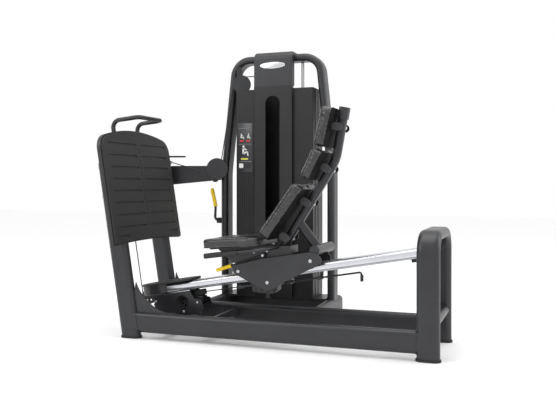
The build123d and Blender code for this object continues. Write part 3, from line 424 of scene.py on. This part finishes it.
tilt = math.radians(SEAT_TILT)
seat_up = Vector((-math.sin(tilt), 0, math.cos(tilt)))
seat_along = Vector((math.cos(tilt), 0, math.sin(tilt)))


def back_dirs(low, high, lean):
    """Direction up a back cushion and out of its face, from two points of the back tube."""
    run = (high - low).normalized()
    square = Vector((-run.z, 0, run.x))
    a = math.radians(lean)
    return (run * math.cos(a) + square * math.sin(a)), (square * math.cos(a) - run * math.sin(a))


TUBE_LOW, TUBE_KNEE, TUBE_TOP = at(792, 0, 496), at(1079, 0, 955), at(1127, 0, 1226)


def seat_channels(s, t, u, v):
    """A shallow cross seam near the front, a dished middle and a thinner rear."""
    dish = 0.012 * max(0, 1 - s * s) * max(0, 1 - t * t) + 0.010 * max(0, t - 0.2)
    line = 0.003 * math.exp(-((v + 0.098) / 0.004) ** 2)
    return dish + (line if abs(s) < 0.93 else 0)


def ribs(pitch, depth):
    """Slanted sewn channels that wrap the two side edges of a back pad."""
    def sink(s, t, u, v):
        edge = max(0.0, min(1.0, (abs(s) - 0.52) / 0.12))
        if abs(t) > 0.92:
            return 0.0
        phase = (v + abs(u) * 0.45) / pitch
        return depth * edge * math.exp(-(((phase - round(phase)) * pitch) / 0.0034) ** 2)
    return sink


def spine(s, t, u, v):
    """A soft hollow down the middle of the lower pad."""
    return 0.004 * math.exp(-(s / 0.25) ** 2) * max(0, 1 - t * t)


cushion("seat_pad", "seat_cushion", "sled", seat_up, seat_along, channels=seat_channels, cap=0.008)
up, out = back_dirs(TUBE_LOW, TUBE_KNEE, -4)
cushion("lower_pad", "lower_cushion", "sled", out, up, channels=spine, cap=0.009)
up, out = back_dirs(TUBE_LOW, TUBE_KNEE, 6)
cushion("middle_pad", "middle_cushion", "sled", out, up, channels=ribs(0.026, 0.0035), cap=0.008)
up, out = back_dirs(TUBE_KNEE, TUBE_TOP, -3)
cushion("head_pad", "head_cushion", "sled", out, up, channels=ribs(0.026, 0.0035), cap=0.008)


# ---- levers ------------------------------------------------------------------------------------
def grip(start, end, r):
    """A moulded grip: flange, ribbed barrel and rounded end."""
    long = (end - start).length
    profile = [(0, r * 0.7), (0.0, r * 1.12), (0.003, r * 1.15), (0.006, r * 1.05)]
    ridges = 9
    for i in range(ridges):
        low = 0.010 + (long - 0.028) * i / ridges
        step = (long - 0.028) / ridges
        profile += [(low, r * 0.93), (low + step * 0.25, r), (low + step * 0.75, r),
                    (low + step * 0.97, r * 0.93)]
    profile += [(long - 0.012, r), (long - 0.005, r * 0.9), (long - 0.001, r * 0.55), (long, r * 0.1)]
    return turned(start, (end - start).normalized(), profile, 28)


def bend(points, r, count=8):
    """A path with its corners rounded."""
    points = [Vector(p) for p in points]
    path = [points[0]]
    for a, b, c in zip(points, points[1:], points[2:]):
        into, onward = (a - b).normalized(), (c - b).normalized()
        for i in range(count + 1):
            s = i / count
            path.append(b + into * r * (1 - s) ** 2 + onward * r * s ** 2)
    return path + [points[-1]]


y = START_LEVER_Y
lever = [(*tube([at(505, y, 387), at(692, y, 449.3)], 0.006), "coat"),
         (*turned(at(700, y - 7, 452), Vector((0, 1, 0)), [(0, 0.0125), (0.0005, 0.013), (0.0135, 0.013),
                                                       (0.014, 0.0125)], 32), "iron"),
         (*grip(at(518, y, 391.2), at(429, y, 361.6), 0.010), "yellow")]
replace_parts(piece("start_lever_visual", lever, "start_lever"), "start_lever")

y = SAFETY_LEVER_Y
run = bend([at(142, y, 598), at(117, y, 603), at(121, y, 690), at(119, y, 700)], 0.022)
lever = [(*tube(run, 0.008), "coat"),
         (*turned(at(150, y - 11, 598), Vector((0, 1, 0)), [(0, 0.0132), (0.0008, 0.014), (0.0212, 0.014),
                                                         (0.022, 0.0132)], 32), "iron"),
         (*grip(at(121.3, y, 688), at(94.4, y, 803), 0.0125), "yellow")]
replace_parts(piece("safety_lever_visual", lever, "safety_lever"), "safety_lever")


# ---- cables that change length -----------------------------------------------------------------
def stretching_cable(name, node):
    """The CAD cable cut into short lengths."""
    obj = bpy.data.objects.new(name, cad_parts[node].data.copy())
    bpy.context.scene.collection.objects.link(obj)
    made = bmesh.new()
    made.from_mesh(obj.data)
    bmesh.ops.remove_doubles(made, verts=made.verts, dist=WELD_DISTANCE)
    long_edges = [edge for edge in made.edges if edge.calc_length() > LONG_EDGE]
    bmesh.ops.subdivide_edges(made, edges=long_edges, cuts=CABLE_CUTS)
    made.to_mesh(obj.data)
    made.free()
    obj.data.materials.clear()
    obj.data.materials.append(MATS["cable"])
    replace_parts(obj, node)
    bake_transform(obj)


stretching_cable("stack_cable_visual", "stack_cable")
stretching_cable("sled_cable_visual", "sled_cable")


# ---- badge and placard -------------------------------------------------------------------------
EAST, NORTH, UP = Vector((1, 0, 0)), Vector((0, 1, 0)), Vector((0, 0, 1))
SOUTH = -NORTH
badge = at(541, 500, 1556)
parts = [(*slab(arc_points(badge, 0.082, 0.019, EAST, UP, 48), 0.0018, SOUTH, 0.0008), "silver"),
         (*tube(arc_points(badge + SOUTH * 0.0016, 0.0812, 0.0186, EAST, UP, 64), 0.0012, 8, closed=True),
          "silver")]
placard = at(351, 525, 1056)
parts += [(*slab(rounded_loop(placard, EAST, UP, 0.050, 0.153, 0.004), 0.0028, SOUTH, 0.0006), "plate")]


def figure(middle, size, key, lean):
    """A small pictogram: a head, a trunk, a thigh, a shin and an arm."""
    spots = {"hip": (-0.10, -0.22), "neck": (-0.10 + lean, 0.20), "knee": (0.24, -0.05), "foot": (0.30, -0.38),
             "hand": (0.18, 0.08)}
    spots = {k: middle + EAST * x * size + UP * z * size for k, (x, z) in spots.items()}
    head = middle + (EAST * (-0.08 + lean) + UP * 0.34) * size
    made = [(*slab(arc_points(head, size * 0.085, size * 0.085, EAST, UP, 20), 0.0005, SOUTH), key)]
    for a, b, wide in (("hip", "neck", 0.07), ("hip", "knee", 0.06), ("knee", "foot", 0.05),
                       ("neck", "hand", 0.045)):
        run = (spots[b] - spots[a]).normalized()
        side = run.cross(SOUTH) * size * wide
        outline = [spots[a] - side, spots[b] - side, spots[b] + side, spots[a] + side]
        made.append((*slab(outline, 0.0005, SOUTH), key))
    return made


face = placard + SOUTH * 0.0029
for height, shift, size, tint, lean in ((0.070, -0.022, 0.044, "white", 0.0),
                                      (0.070, 0.020, 0.044, "white", 0.14),
                                      (-0.020, -0.004, 0.080, "white", 0.0)):
    spot = face + UP * height + EAST * shift
    parts += figure(spot, size, tint, lean)
    mark = spot - UP * size * 0.62
    parts.append((*slab(rounded_loop(mark, EAST, UP, size * 0.30, 0.005, 0.002, 3), 0.0004, SOUTH),
                  "red" if height > 0 else "lime"))
for height in (0.122, 0.022, -0.086):
    parts.append((*slab(rounded_loop(face + UP * height, EAST, UP, 0.042, 0.0012, 0.001, 3), 0.0003, SOUTH),
                  "grey"))
for shift, wide, tint in ((-0.026, 0.014, "white"), (0.018, 0.020, "coat")):
    parts.append((*slab(rounded_loop(face - UP * 0.112 + EAST * shift, EAST, UP, wide, 0.014, 0.003, 4),
                        0.0004, SOUTH), tint))
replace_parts(piece("tower_plates_visual", parts, "frame"), "tower_plates")


# ---- weld beads --------------------------------------------------------------------------------
def stadium(centre, long_dir, short_dir, deep, thin, count=14):
    """Outline of a flat-oval tube."""
    straight = (deep - thin) / 2
    points = []
    for sign in (1, -1):
        middle = centre + long_dir * straight * sign
        for i in range(count + 1):
            turn = math.pi * i / count
            points.append(middle + long_dir * sign * math.sin(turn) * thin / 2
                          + short_dir * sign * math.cos(turn) * thin / 2)
    return points


beads = []
lean = math.tan(math.radians(9.2))
for side in (-231, 231):
    loop = stadium(at(1533, side, 86), UP, NORTH, 0.110, 0.055)
    beads.append((*tube(loop, 0.0034, 8, closed=True), "weld"))
    loop = stadium(at(0, side, 86), UP, NORTH, 0.110, 0.055)
    for point in loop:
        point.x = at(56.0, 0, 0).x - lean * point.z
    beads.append((*tube(loop, 0.0034, 8, closed=True), "weld"))
for x in (191, 891):
    loop = stadium(at(x, 258.5, 84), UP, EAST, 0.106, 0.056)
    beads.append((*tube(loop, 0.0024, 8, closed=True), "weld"))
piece("frame_welds", beads, "frame")


# ---- floor, light and camera -------------------------------------------------------------------
bpy.ops.mesh.primitive_plane_add(size=30, location=(0, 0, -0.0005))
floor = bpy.context.object
floor.name = "studio_floor"
floor.data.materials.append(surface("studio_floor", (0.97, 0.97, 0.97), 0.75, scale=40, bump=0.02, vary=0.01))

world = bpy.data.worlds.new("studio")
bpy.context.scene.world = world
world.use_nodes = True
backdrop = world.node_tree.nodes["Background"]
backdrop.inputs["Color"].default_value = (1, 1, 1, 1)
backdrop.inputs["Strength"].default_value = 1.0
bpy.context.scene.view_settings.view_transform = "Standard"


def softbox(name, place, aim, size, power):
    data = bpy.data.lights.new(name, "AREA")
    data.shape, data.size, data.size_y, data.energy = "RECTANGLE", size[0], size[1], power
    lamp = bpy.data.objects.new(name, data)
    lamp.location = place
    lamp.rotation_euler = (Vector(aim) - Vector(place)).to_track_quat("-Z", "Y").to_euler()
    bpy.context.scene.collection.objects.link(lamp)


softbox("key", (-2.6, -3.2, 3.4), (0, 0, 0.6), (2.4, 1.6), 45)
softbox("top", (0.3, -0.4, 4.2), (0, 0, 0.4), (3.4, 2.2), 60)
softbox("rim", (3.6, 1.2, 2.2), (0.2, 0, 0.7), (1.2, 2.6), 30)

lens = bpy.data.cameras.new("camera")
lens.sensor_width = 36
lens.lens = lens.sensor_width * PHOTO_FOCAL / PHOTO_WIDTH
lens.shift_y = PHOTO_SHIFT / PHOTO_WIDTH
camera = bpy.data.objects.new("camera", lens)
camera.location = at(2079.2, -3663.5, 830)
camera.rotation_euler = (math.radians(90), 0, math.radians(19.84))
bpy.context.scene.collection.objects.link(camera)
bpy.context.scene.camera = camera
